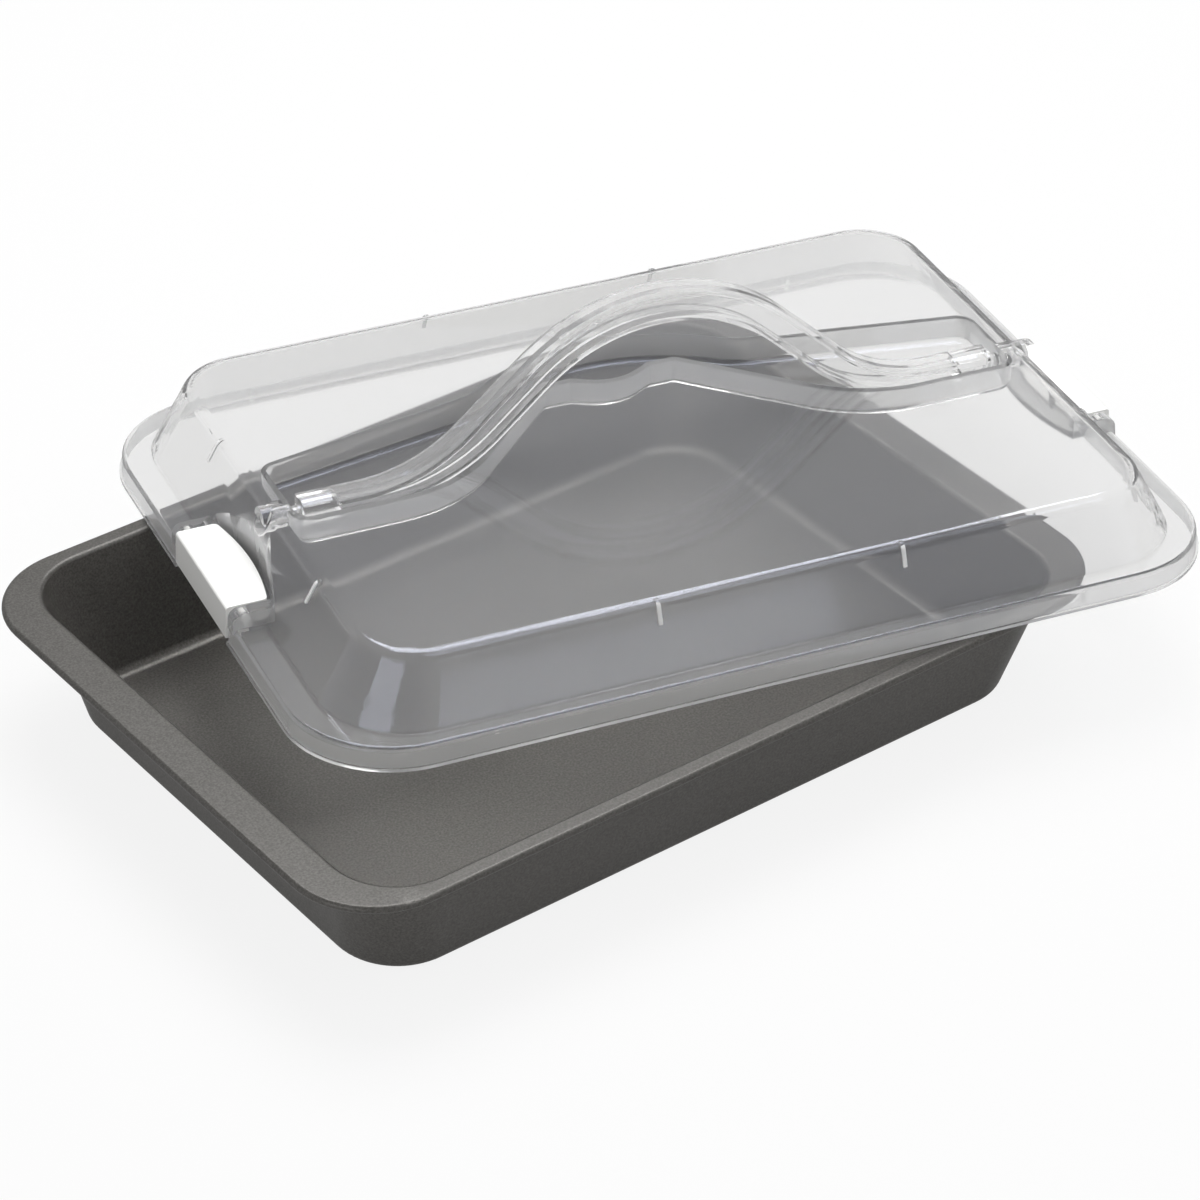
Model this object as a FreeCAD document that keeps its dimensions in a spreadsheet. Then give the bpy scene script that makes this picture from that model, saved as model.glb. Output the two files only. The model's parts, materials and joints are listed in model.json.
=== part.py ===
import FreeCAD
import Part
import Sketcher
import math
import os

# Rectangular cake pan of folded steel sheet with a clear moulded lid.
# The pan stands on its floor at z = 0, centred, long side along X.
# The lid lies askew on the pan's rim, turned and shifted, with its handle up.
# All lengths are in millimetres and all angles in degrees.

Vector = FreeCAD.Vector
doc = FreeCAD.newDocument("CakePan")
sheet = doc.addObject("Spreadsheet::Sheet", "Sizes")

# Driving sizes: name, value, what it measures
sizes = [
    ("panLength", 330.0, "mouth of the pan, long way"),
    ("panWidth", 247.6, "mouth of the pan, short way"),
    ("panDepth", 53.3, "table to top of rim"),
    ("panSheet", 0.8, "steel sheet"),
    ("mouthCorner", 28.0, "corner radius of the mouth"),
    ("mouthRound", 2.2, "bend from wall to flange"),
    ("floorEndInset", 9.4, "lean of each end wall"),
    ("floorSideInset", 14.5, "lean of each side wall"),
    ("floorRound", 4.6, "bend from floor to wall"),
    ("flangeEnd", 17.4, "flange and curl beyond the mouth, at the ends"),
    ("flangeSide", 7.85, "flange and curl beyond the mouth, at the sides"),
    ("rimCorner", 36.3, "outer corner radius of the rim"),
    ("curlRadius", 1.7, "outer radius of the rolled edge"),
    ("curlTurn", 262.0, "how far the edge is rolled round"),
    ("lidWall", 1.8, "wall of the lid"),
    ("lidEndGap", 6.45, "room between rim and skirt at the ends"),
    ("lidSideGap", 1.55, "room between rim and skirt at the sides"),
    ("lidCornerExtra", 7.5, "lid corner radius beyond the rim's"),
    ("lipProud", 0.6, "bead round the foot of the skirt"),
    ("lipHeight", 1.4, "height of that bead"),
    ("skirtDraft", 0.8, "lean of the skirt"),
    ("shoulderHeight", 9.5, "top of the shoulder above the skirt's foot"),
    ("shoulderRound", 2.2, "outer edge of the shoulder"),
    ("shoulderEnd", 13.05, "skirt to dome at the ends"),
    ("shoulderSide", 9.0, "skirt to dome at the sides"),
    ("domeCorner", 36.0, "corner radius at the dome's foot"),
    ("domeTopCorner", 25.0, "corner radius at the dome's top"),
    ("domeEndDraft", 15.7, "lean of the dome's end walls"),
    ("domeSideDraft", 9.6, "lean of the dome's side walls"),
    ("domeHeight", 37.25, "top of the lid above the skirt's foot"),
    ("domeRound", 5.5, "top edge of the dome"),
    ("recessDepth", 12.0, "handle recess below the lid's top"),
    ("recessEndGap", 8.4, "end of the recess to end of the dome's top"),
    ("recessFront", 13.0, "hinge line to front wall of the recess"),
    ("recessRearShare", 0.192, "hinge line to rear wall at the ends, to the handle's half length"),
    ("recessRearSlope", 11.0, "rise of the rear wall towards the middle"),
    ("recessRearBend", 30.0, "bend from rear wall to crown wall"),
    ("recessFrontBend", 62.0, "bend from front wall to brow slope"),
    ("browSlope", 44.5, "slope of the front wall beside the brow"),
    ("browGap", 9.5, "folded crown's inner edge to brow"),
    ("browHalf", 29.0, "middle to corner of the brow"),
    ("browRound", 5.0, "corner of the brow"),
    ("notchHalf", 17.0, "half width of the finger notch"),
    ("notchDepth", 9.5, "depth of the finger notch before rounding"),
    ("notchRound", 22.0, "round of the finger notch"),
    ("notchEdge", 3.0, "edge from notch to brow"),
    ("recessCorner", 6.0, "upright corners of the recess"),
    ("recessFoot", 2.4, "round at the foot of the recess wall"),
    ("hingeForward", 1.0, "hinge line behind the lid's middle"),
    ("handleWidth", 11.4, "handle, front to back when up"),
    ("handleSink", 0.05, "folded handle below the lid's top"),
    ("handleEndGap", 4.8, "end of the handle to end of the recess"),
    ("crownShare", 0.444, "top of the handle above its hinge, to its half length"),
    ("crownBow", 0.558, "outer curve of the crown, to its half length"),
    ("crownGap", 2.5, "folded crown to rear wall"),
    ("recessCrownSlope", 34.0, "slope where the crown wall meets the rear wall"),
    ("armSlope", 42.0, "slope of the handle's arms"),
    ("handleDepth", 12.5, "handle from outer to inner rim"),
    ("armTop", 5.2, "top of the arms above the hinge"),
    ("armDrop", 1.6, "underside of the arms below the hinge"),
    ("rootShareOuter", 0.427, "outer bend from arm to crown, to its half length"),
    ("rootShareInner", 0.484, "inner bend from arm to crown, to its half length"),
    ("handleRim", 2.2, "rim of the handle's section"),
    ("handleWeb", 3.2, "web between the rims"),
    ("sideCorner", 0.95, "corners of the side channels"),
    ("tabSlope", 28.8, "slope of the crown at its small tab"),
    ("tabLength", 4.0, "that tab along the crown"),
    ("tabProud", 0.9, "that tab proud of the crown"),
    ("barrelLength", 14.5, "round block at each end of the handle"),
    ("pinRadius", 3.0, "stub pin of the handle"),
    ("pinReach", 11.0, "length of that pin"),
    ("pinClearance", 0.06, "running room round every pin"),
    ("pinEndGap", 0.5, "room past the end of the handle's pins"),
    ("bossRadius", 5.6, "pivot boss at each end of the recess"),
    ("bossReach", 11.6, "recess end to face of the boss"),
    ("latchHalf", 29.0, "half length of a latch"),
    ("latchEndGap", 0.5, "latch to ear"),
    ("latchAxisIn", 6.65, "outer face of the skirt to latch pin"),
    ("latchAxisHeight", 12.4, "latch pin above the skirt's foot"),
    ("latchTop", 16.2, "top of the latch above the skirt's foot"),
    ("latchFoot", 2.6, "foot of the latch above the skirt's foot"),
    ("latchPlate", 2.2, "plates of the latch"),
    ("latchDraft", 0.6, "lean of the latch's face"),
    ("latchRound", 1.4, "edges of the latch's section"),
    ("latchApex", 17.2, "pin to point where the inner edge's ends would meet"),
    ("latchShoulder", 10.5, "pin to the ends of the inner edge"),
    ("latchCurve", 118.0, "curve of the inner edge"),
    ("latchCorner", 2.0, "corners of the latch, seen from above"),
    ("hookReach", 2.8, "pin to tip of the hook, inwards"),
    ("hookHeight", 1.7, "thickness of the hook"),
    ("hookGap", 0.8, "tip of the hook to the lid"),
    ("latchPinRadius", 2.0, "latch pin"),
    ("latchPinReach", 3.8, "latch pin beyond the latch's end"),
    ("pocketDeep", 23.65, "outer face of the skirt to middle of the pocket wall"),
    ("pocketCurve", 98.6, "curve of the pocket wall"),
    ("pocketHalf", 32.0, "half length of the latch pocket"),
    ("earWidth", 6.0, "ear at each end of a latch"),
    ("earHeight", 16.0, "top of the ears above the skirt's foot"),
    ("earRound", 4.5, "outer top corner of an ear"),
    ("earBore", 4.2, "depth of the bore in an ear"),
    ("earSink", 5.5, "ear into the dome's foot"),
    ("ribWidth", 1.6, "every rib of the lid"),
    ("ribProud", 0.7, "rib proud of the dome's wall"),
    ("ribFall", 8.75, "foot of a rib below the lid's top"),
    ("ribDip", 0.2, "top of a rib below the lid's top"),
    ("ribRound", 3.5, "outer top corner of a rib"),
    ("ribAlong", 50.0, "middle to a rib on the long walls"),
    ("ribAcross", 54.0, "middle to a rib on the end walls"),
    ("spacerAlong", 122.0, "middle to a spacer rib inside the long skirt"),
    ("spacerProud", 0.7, "spacer rib proud of the skirt's inner face"),
    ("spacerFoot", 2.6, "foot of a spacer rib above the skirt's foot"),
    ("lidYaw", -13.43, "turn of the lid on the pan"),
    ("lidShiftX", 67.3, "lid's middle from the pan's, long way"),
    ("lidShiftY", 19.4, "lid's middle from the pan's, short way"),
    ("restGap", 0.3, "seat between lid and rim"),
    ("restRise", 0.2, "rim corner above the shoulder's underside"),
    ("overcut", 1.0, "how far a cut runs past the face it opens"),
]

# Sizes that follow from the driving ones: name, formula
worked = [
    ("mouthHalfLength", "panLength / 2"),
    ("mouthHalfWidth", "panWidth / 2"),
    ("mouthOuterLength", "mouthHalfLength + panSheet"),
    ("mouthOuterWidth", "mouthHalfWidth + panSheet"),
    ("mouthOuterCorner", "mouthCorner + panSheet"),
    ("hollowDepth", "panDepth - panSheet"),
    ("endLean", "atan(floorEndInset / hollowDepth)"),
    ("sideLean", "atan(floorSideInset / hollowDepth)"),
    ("floorOuterRound", "floorRound + panSheet"),
    ("underRound", "mouthRound - panSheet"),
    ("rimHalfLength", "mouthHalfLength + flangeEnd - curlRadius"),
    ("rimHalfWidth", "mouthHalfWidth + flangeSide - curlRadius"),
    ("rimLineCorner", "rimCorner - curlRadius"),
    ("curlCentre", "panDepth - curlRadius"),
    ("curlInner", "curlRadius - panSheet"),
    ("curlEnd", "curlTurn - 90"),
    ("lidHalfLength", "rimHalfLength + curlRadius + lidEndGap + lidWall"),
    ("lidHalfWidth", "rimHalfWidth + curlRadius + lidSideGap + lidWall"),
    ("lidCorner", "rimCorner + lidCornerExtra"),
    ("skirtHalfLength", "lidHalfLength - lipProud"),
    ("skirtHalfWidth", "lidHalfWidth - lipProud"),
    ("skirtCorner", "lidCorner - lipProud"),
    ("skirtTopLength", "skirtHalfLength - skirtDraft"),
    ("skirtTopWidth", "skirtHalfWidth - skirtDraft"),
    ("skirtTopCorner", "skirtCorner - skirtDraft"),
    ("skirtLean", "atan(skirtDraft / shoulderHeight)"),
    ("domeHalfLength", "lidHalfLength - shoulderEnd"),
    ("domeHalfWidth", "lidHalfWidth - shoulderSide"),
    ("domeTopLength", "domeHalfLength - domeEndDraft"),
    ("domeTopWidth", "domeHalfWidth - domeSideDraft"),
    ("coreFootLength", "skirtHalfLength - lidWall"),
    ("coreFootWidth", "skirtHalfWidth - lidWall"),
    ("coreFootCorner", "skirtCorner - lidWall"),
    ("coreShoulderLength", "skirtTopLength - lidWall"),
    ("coreShoulderWidth", "skirtTopWidth - lidWall"),
    ("coreShoulderCorner", "skirtTopCorner - lidWall"),
    ("coreShoulderHeight", "shoulderHeight - lidWall"),
    ("coreDomeLength", "domeHalfLength - lidWall"),
    ("coreDomeWidth", "domeHalfWidth - lidWall"),
    ("coreDomeCorner", "domeCorner - lidWall"),
    ("coreTopLength", "domeTopLength - lidWall"),
    ("coreTopWidth", "domeTopWidth - lidWall"),
    ("coreTopCorner", "domeTopCorner - lidWall"),
    ("coreTopHeight", "domeHeight - lidWall"),
    ("coreRound", "domeRound - lidWall"),
    ("recessHalfLength", "domeTopLength - recessEndGap"),
    ("handleHalfLength", "recessHalfLength - handleEndGap"),
    ("crownHeight", "handleHalfLength * crownShare"),
    ("crownRadius", "handleHalfLength * crownBow"),
    ("rootRadiusOuter", "handleHalfLength * rootShareOuter"),
    ("rootRadiusInner", "handleHalfLength * rootShareInner"),
    ("recessFloor", "domeHeight - recessDepth"),
    ("hingeHeight", "domeHeight - handleSink - handleWidth / 2"),
    ("crownCentre", "crownHeight - crownRadius"),
    ("recessCrown", "crownRadius + crownGap"),
    ("recessCrownApex", "hingeForward + crownCentre + recessCrown / cos(recessCrownSlope)"),
    ("recessRearEnd", "hingeForward + handleHalfLength * recessRearShare"),
    ("recessJointX", "(recessCrownApex - recessRearEnd - recessHalfLength * tan(recessRearSlope))"
                     " / (tan(recessCrownSlope) - tan(recessRearSlope))"),
    ("recessJointY", "recessCrownApex - recessJointX * tan(recessCrownSlope)"),
    ("recessFrontWall", "recessFront - hingeForward"),
    ("browLine", "hingeForward + crownHeight - handleDepth - browGap"),
    ("browFootX", "browHalf + (browLine + recessFrontWall) / tan(browSlope)"),
    ("notchBottom", "browLine - notchDepth"),
    ("crownApexOuter", "crownCentre + crownRadius / cos(armSlope)"),
    ("rootOuterX", "(crownRadius - (armTop - crownCentre) * cos(armSlope)) / sin(armSlope)"),
    ("crownRadiusInner", "crownRadius - handleDepth"),
    ("crownApexInner", "crownCentre + crownRadiusInner / cos(armSlope)"),
    ("rootInnerX", "(crownRadiusInner + (armDrop + crownCentre) * cos(armSlope)) / sin(armSlope)"),
    ("tabSpread", "tabLength / 2 / crownRadius * 180 / pi"),
    ("tabOuter", "crownRadius + tabProud"),
    ("tabRoot", "crownRadius - handleRim / 2"),
    ("tabFarX", "tabOuter * sin(tabSlope + tabSpread)"),
    ("tabFarZ", "crownCentre + tabOuter * cos(tabSlope + tabSpread)"),
    ("tabNearX", "tabOuter * sin(tabSlope - tabSpread)"),
    ("tabNearZ", "crownCentre + tabOuter * cos(tabSlope - tabSpread)"),
    ("tabRootFarX", "tabRoot * sin(tabSlope + tabSpread)"),
    ("tabRootFarZ", "crownCentre + tabRoot * cos(tabSlope + tabSpread)"),
    ("tabRootNearX", "tabRoot * sin(tabSlope - tabSpread)"),
    ("tabRootNearZ", "crownCentre + tabRoot * cos(tabSlope - tabSpread)"),
    ("sideCrownOuter", "crownRadius - handleRim"),
    ("sideApexOuter", "crownCentre + sideCrownOuter / cos(armSlope)"),
    ("sideTop", "armTop - handleRim"),
    ("sideRootOuterX", "(sideCrownOuter - (sideTop - crownCentre) * cos(armSlope)) / sin(armSlope)"),
    ("sideRootOuter", "rootRadiusOuter + handleRim"),
    ("sideCrownInner", "crownRadiusInner + handleRim"),
    ("sideApexInner", "crownCentre + sideCrownInner / cos(armSlope)"),
    ("sideBottom", "handleRim - armDrop"),
    ("sideRootInnerX", "(sideCrownInner - (sideBottom - crownCentre) * cos(armSlope)) / sin(armSlope)"),
    ("sideRootInner", "rootRadiusInner - handleRim"),
    ("sideEnd", "handleHalfLength - barrelLength"),
    ("sideDepth", "(handleWidth - handleWeb) / 2"),
    ("handleHalfWidth", "handleWidth / 2"),
    ("latchAxis", "lidHalfLength - latchAxisIn"),
    ("latchFace", "latchAxisIn"),
    ("latchFaceTop", "latchAxisIn - latchDraft"),
    ("latchTopZ", "latchTop - latchAxisHeight"),
    ("latchFootZ", "latchAxisHeight - latchFoot"),
    ("latchPlateZ", "latchTopZ - latchPlate"),
    ("latchInnerX", "latchAxisIn - latchPlate"),
    ("hookTopZ", "latchFootZ - hookHeight"),
    ("bayHalf", "latchHalf + latchEndGap"),
    ("bayInner", "latchAxis - hookReach - hookGap"),
    ("pocketCentre", "lidHalfLength - pocketDeep + pocketCurve"),
    ("earInner", "domeHalfLength - earSink"),
    ("earFoot", "coreShoulderHeight"),
    ("bossFace", "recessHalfLength + bossReach"),
    ("hingeBoreEnd", "handleHalfLength + pinReach + pinEndGap"),
    ("hingeBoreLength", "hingeBoreEnd - recessHalfLength + overcut"),
    ("spacerTop", "coreShoulderHeight + lidWall / 2"),
    ("ribFoot", "domeHeight - ribFall"),
    ("ribTop", "domeHeight - ribDip"),
    ("ribFootShare", "(ribFoot - shoulderHeight) / (domeHeight - shoulderHeight)"),
    ("ribTopShare", "(ribTop - shoulderHeight) / (domeHeight - shoulderHeight)"),
    ("endRibFoot", "domeHalfLength - domeEndDraft * ribFootShare + ribProud"),
    ("endRibTop", "domeHalfLength - domeEndDraft * ribTopShare + ribProud"),
    ("endRibInner", "domeTopLength - domeRound"),
    ("sideRibFoot", "domeHalfWidth - domeSideDraft * ribFootShare + ribProud"),
    ("sideRibTop", "domeHalfWidth - domeSideDraft * ribTopShare + ribProud"),
    ("sideRibInner", "domeTopWidth - domeRound"),
]


def fill(row, name, content, note=""):
    """One line of the sheet: the note, the number or formula, its alias."""
    sheet.set("A%d" % row, note)
    sheet.set("B%d" % row, content)
    sheet.setAlias("B%d" % row, name)


for row, (name, value, note) in enumerate(sizes, start=1):
    fill(row, name, str(value), note)
doc.recompute()
for row, (name, formula) in enumerate(worked, start=len(sizes) + 1):
    fill(row, name, "=" + formula)
doc.recompute()


def amount(text):
    """The number behind a size's name, which may carry a minus sign."""
    if text == "0":
        return 0.0
    if text.startswith("-"):
        return -amount(text[1:])
    return float(sheet.get(text))


def cell(text):
    """The expression for a size's name."""
    if text.startswith("-"):
        return "-Sizes." + text[1:]
    return "Sizes." + text


def newBody(label):
    body = doc.addObject("PartDesign::Body", label)
    body.Label = label
    return body


def newSketch(body, name, role, offset="0"):
    """A sketch on one of the body's own origin planes, moved along its normal."""
    plane = next(item for item in body.Origin.OriginFeatures if item.Role == role)
    sketch = body.newObject("Sketcher::SketchObject", name)
    sketch.AttachmentSupport = [(plane, "")]
    sketch.MapMode = "FlatFace"
    if offset != "0":
        sketch.setExpression(".AttachmentOffset.Base.z", cell(offset))
    return sketch


def bind(sketch, constraint, expression):
    index = sketch.addConstraint(constraint)
    sketch.setExpression("Constraints[%d]" % index, expression)


def pin(sketch, geometry, place, axis, text):
    """Holds one coordinate of a point at a size."""
    if text == "0":
        line = -2 if axis == "X" else -1
        sketch.addConstraint(Sketcher.Constraint("PointOnObject", geometry, place, line))
    elif text.startswith("-"):
        rule = Sketcher.Constraint("Distance" + axis, geometry, place, -1, 1, -amount(text))
        bind(sketch, rule, cell(text[1:]))
    else:
        rule = Sketcher.Constraint("Distance" + axis, -1, 1, geometry, place, amount(text))
        bind(sketch, rule, cell(text))


def outline(body, name, role, offset, corners):
    """A closed outline from its corners (x, y, radius), each name a size."""
    sketch = newSketch(body, name, role, offset)
    count = len(corners)
    points = [Vector(amount(x), amount(y), 0) for x, y, radius in corners]
    radii = [amount(radius) for x, y, radius in corners]
    ways = [(points[(i + 1) % count] - points[i]).normalize() for i in range(count)]
    turns = []
    setbacks = []
    for i in range(count):
        before = ways[i - 1]
        after = ways[i]
        turn = math.atan2(before.cross(after).z, before.dot(after))
        turns.append(turn)
        setbacks.append(radii[i] * math.tan(abs(turn) / 2))
    for i in range(count):
        nextOne = (i + 1) % count
        start = points[i] + ways[i] * setbacks[i]
        end = points[nextOne] - ways[i] * setbacks[nextOne]
        sketch.addGeometry(Part.LineSegment(start, end), False)
    for i in range(count):
        if corners[i][2] == "0":
            sketch.addConstraint(Sketcher.Constraint("Coincident", (i - 1) % count, 2, i, 1))
            pin(sketch, i, 1, "X", corners[i][0])
            pin(sketch, i, 1, "Y", corners[i][1])
            continue
        side = 1 if turns[i] > 0 else -1
        inward = Vector(-ways[i - 1].y, ways[i - 1].x, 0) * side
        centre = points[i] - ways[i - 1] * setbacks[i] + inward * radii[i]
        first = math.atan2(-inward.y, -inward.x)
        last = first + turns[i]
        circle = Part.Circle(centre, Vector(0, 0, 1), radii[i])
        arc = sketch.addGeometry(Part.ArcOfCircle(circle, min(first, last), max(first, last)), False)
        mark = sketch.addGeometry(Part.Point(points[i]), True)
        enter = 1 if side > 0 else 2
        sketch.addConstraint(Sketcher.Constraint("Tangent", (i - 1) % count, 2, arc, enter))
        sketch.addConstraint(Sketcher.Constraint("Tangent", arc, 3 - enter, i, 1))
        sketch.addConstraint(Sketcher.Constraint("PointOnObject", mark, 1, (i - 1) % count))
        sketch.addConstraint(Sketcher.Constraint("PointOnObject", mark, 1, i))
        pin(sketch, mark, 1, "X", corners[i][0])
        pin(sketch, mark, 1, "Y", corners[i][1])
        bind(sketch, Sketcher.Constraint("Radius", arc, radii[i]), cell(corners[i][2]))
    return sketch


def roundedBox(body, name, height, length, width, corner):
    """A rectangle with round corners, level, at a height."""
    corners = [
        (length, width, corner),
        ("-" + length, width, corner),
        ("-" + length, "-" + width, corner),
        (length, "-" + width, corner),
    ]
    return outline(body, name, "XY_Plane", height, corners)


def disc(body, name, role, offset, across, up, radius):
    """A circle at a place named by two sizes."""
    sketch = newSketch(body, name, role, offset)
    centre = Vector(amount(across), amount(up), 0)
    sketch.addGeometry(Part.Circle(centre, Vector(0, 0, 1), amount(radius)), False)
    pin(sketch, 0, 3, "X", across)
    pin(sketch, 0, 3, "Y", up)
    bind(sketch, Sketcher.Constraint("Radius", 0, amount(radius)), cell(radius))
    return sketch


def loft(body, name, kind, lower, upper):
    feature = body.newObject("PartDesign::" + kind, name)
    feature.Profile = (lower, [""])
    feature.Sections = [(upper, [""])]
    feature.Ruled = True
    doc.recompute()
    return feature


def pad(body, name, sketch, length, symmetric=False, reverse=False):
    feature = body.newObject("PartDesign::Pad", name)
    feature.Profile = (sketch, [""])
    if symmetric:
        feature.SideType = "Symmetric"
    feature.Reversed = reverse
    feature.setExpression("Length", length)
    doc.recompute()
    return feature


def mirrored(body, name, features, role):
    plane = next(item for item in body.Origin.OriginFeatures if item.Role == role)
    feature = body.newObject("PartDesign::Mirrored", name)
    feature.Originals = features
    feature.MirrorPlane = (plane, [""])
    body.Tip = feature
    doc.recompute()
    return feature


def edgesAt(feature, chosen):
    """Names of the edges whose every vertex and middle pass the test."""
    names = []
    for number, edge in enumerate(feature.Shape.Edges, start=1):
        middle = edge.valueAt((edge.FirstParameter + edge.LastParameter) / 2)
        places = [vertex.Point for vertex in edge.Vertexes] + [middle]
        if all(chosen(place) for place in places):
            names.append("Edge%d" % number)
    return names


def fillet(body, name, feature, chosen, radius):
    rounding = body.newObject("PartDesign::Fillet", name)
    rounding.Base = (feature, edgesAt(feature, chosen))
    rounding.setExpression("Radius", cell(radius))
    doc.recompute()
    return rounding


def near(value, target):
    return abs(value - target) < 0.02


def sharpBox(body, name, height, length, width):
    """A rectangle with sharp corners, level, at a height."""
    corners = [
        (length, width, "0"),
        ("-" + length, width, "0"),
        ("-" + length, "-" + width, "0"),
        (length, "-" + width, "0"),
    ]
    return outline(body, name, "XY_Plane", height, corners)


def facesTowards(feature, axis):
    """Names of the flat faces whose normal lies mostly along an axis."""
    names = []
    for number, face in enumerate(feature.Shape.Faces, start=1):
        if abs(getattr(face.normalAt(0, 0), axis)) > math.cos(math.pi / 4):
            names.append("Face%d" % number)
    return names


def draft(body, name, feature, axis, angle):
    """Leans the walls across an axis about the block's top face."""
    leaning = body.newObject("PartDesign::Draft", name)
    leaning.Base = (feature, facesTowards(feature, axis))
    tops = [item for item in facesTowards(feature, "z")
            if feature.Shape.getElement(item).CenterOfMass.z > feature.Shape.CenterOfMass.z]
    leaning.NeutralPlane = (feature, tops)
    leaning.Reversed = True
    leaning.setExpression("Angle", cell(angle))
    doc.recompute()
    return leaning


def tray(body, high, deep, mouth, corner, bend):
    """A block hung from its mouth: walls leaning in, upright edges and foot rounded."""
    name = body.Name
    sketch = sharpBox(body, name + "Mouth", high, mouth[0], mouth[1])
    block = pad(body, name + "Block", sketch, cell(deep), reverse=True)
    ends = draft(body, name + "Ends", block, "x", "endLean")
    sides = draft(body, name + "Sides", ends, "y", "sideLean")
    upright = []
    for number, edge in enumerate(sides.Shape.Edges, start=1):
        if edge.BoundBox.ZLength > amount(deep) / 2:
            upright.append("Edge%d" % number)
    corners = body.newObject("PartDesign::Fillet", name + "Corners")
    corners.Base = (sides, upright)
    corners.setExpression("Radius", cell(corner))
    doc.recompute()
    foot = amount(high) - amount(deep)
    return fillet(body, name + "Bend", corners, lambda p: near(p.z, foot), bend)


# The pan: floor and leaning walls, bent out to a flange, its edge rolled under
def makePan():
    hollow = newBody("hollow")
    tray(hollow, "panDepth", "hollowDepth", ("mouthHalfLength", "mouthHalfWidth"),
         "mouthCorner", "floorRound")
    body = newBody("pan")
    tray(body, "panDepth", "panDepth", ("mouthOuterLength", "mouthOuterWidth"),
         "mouthOuterCorner", "floorOuterRound")
    rimLine = roundedBox(body, "rimLine", "panDepth", "rimHalfLength", "rimHalfWidth", "rimLineCorner")
    flange = pad(body, "flange", rimLine, "Sizes.panSheet", reverse=True)
    under = amount("panDepth") - amount("panSheet")
    outerEdge = amount("mouthOuterLength") + amount("panSheet")
    outerSide = amount("mouthOuterWidth") + amount("panSheet")
    fillet(body, "underBend", flange,
           lambda p: near(p.z, under) and abs(p.x) < outerEdge and abs(p.y) < outerSide, "underRound")
    space = body.newObject("PartDesign::Boolean", "panSpace")
    space.setObjects([hollow])
    space.Type = "Cut"
    doc.recompute()
    top = amount("panDepth")
    mouthEdge = amount("mouthOuterLength")
    mouthSide = amount("mouthOuterWidth")
    fillet(body, "mouthBend", space,
           lambda p: near(p.z, top) and abs(p.x) < mouthEdge and abs(p.y) < mouthSide, "mouthRound")
    addCurl(body)
    return body


def addCurl(body):
    """The edge's roll: a ring of sheet, left open, swept round the rim."""
    sketch = newSketch(body, "curlSection", "XZ_Plane")
    centre = Vector(amount("rimHalfLength"), amount("curlCentre"), 0)
    begin = -math.radians(amount("curlEnd"))
    top = math.pi / 2
    for radius in ("curlRadius", "curlInner"):
        circle = Part.Circle(centre, Vector(0, 0, 1), amount(radius))
        sketch.addGeometry(Part.ArcOfCircle(circle, begin, top), False)
    outer = sketch.Geometry[0]
    inner = sketch.Geometry[1]
    sketch.addGeometry(Part.LineSegment(inner.EndPoint, outer.EndPoint), False)
    sketch.addGeometry(Part.LineSegment(inner.StartPoint, outer.StartPoint), False)
    sketch.addConstraint(Sketcher.Constraint("Coincident", 0, 3, 1, 3))
    sketch.addConstraint(Sketcher.Constraint("Coincident", 2, 1, 1, 2))
    sketch.addConstraint(Sketcher.Constraint("Coincident", 2, 2, 0, 2))
    sketch.addConstraint(Sketcher.Constraint("Coincident", 3, 1, 1, 1))
    sketch.addConstraint(Sketcher.Constraint("Coincident", 3, 2, 0, 1))
    sketch.addConstraint(Sketcher.Constraint("Vertical", 2))
    sketch.addConstraint(Sketcher.Constraint("PointOnObject", 0, 3, 2))
    sketch.addConstraint(Sketcher.Constraint("PointOnObject", 0, 3, 3))
    pin(sketch, 0, 3, "X", "rimHalfLength")
    pin(sketch, 0, 3, "Y", "curlCentre")
    bind(sketch, Sketcher.Constraint("Radius", 0, amount("curlRadius")), "Sizes.curlRadius")
    bind(sketch, Sketcher.Constraint("Radius", 1, amount("curlInner")), "Sizes.curlInner")
    bind(sketch, Sketcher.Constraint("Angle", 3, begin), "-Sizes.curlEnd")
    path = roundedBox(body, "curlPath", "curlCentre", "rimHalfLength", "rimHalfWidth", "rimLineCorner")
    curl = body.newObject("PartDesign::AdditivePipe", "curl")
    curl.Profile = (sketch, [""])
    curl.Spine = (path, [])
    doc.recompute()


# The lid's outer form: skirt with a bead at its foot, shoulder and dome
def lidOutside():
    body = newBody("lidOutside")
    foot = roundedBox(body, "skirtFoot", "0", "skirtHalfLength", "skirtHalfWidth", "skirtCorner")
    skirt = pad(body, "skirt", foot, "Sizes.shoulderHeight")
    skirt.setExpression("TaperAngle", "-Sizes.skirtLean")
    doc.recompute()
    high = amount("shoulderHeight")
    fillet(body, "shoulderEdge", skirt, lambda p: near(p.z, high), "shoulderRound")
    domeFoot = roundedBox(body, "domeFoot", "shoulderHeight", "domeHalfLength", "domeHalfWidth",
                          "domeCorner")
    domeTop = roundedBox(body, "domeTop", "domeHeight", "domeTopLength", "domeTopWidth", "domeTopCorner")
    dome = loft(body, "dome", "AdditiveLoft", domeFoot, domeTop)
    crest = amount("domeHeight")
    fillet(body, "domeEdge", dome, lambda p: near(p.z, crest), "domeRound")
    bead = roundedBox(body, "beadLine", "0", "lidHalfLength", "lidHalfWidth", "lidCorner")
    pad(body, "bead", bead, "Sizes.lipHeight")
    return body


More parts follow.
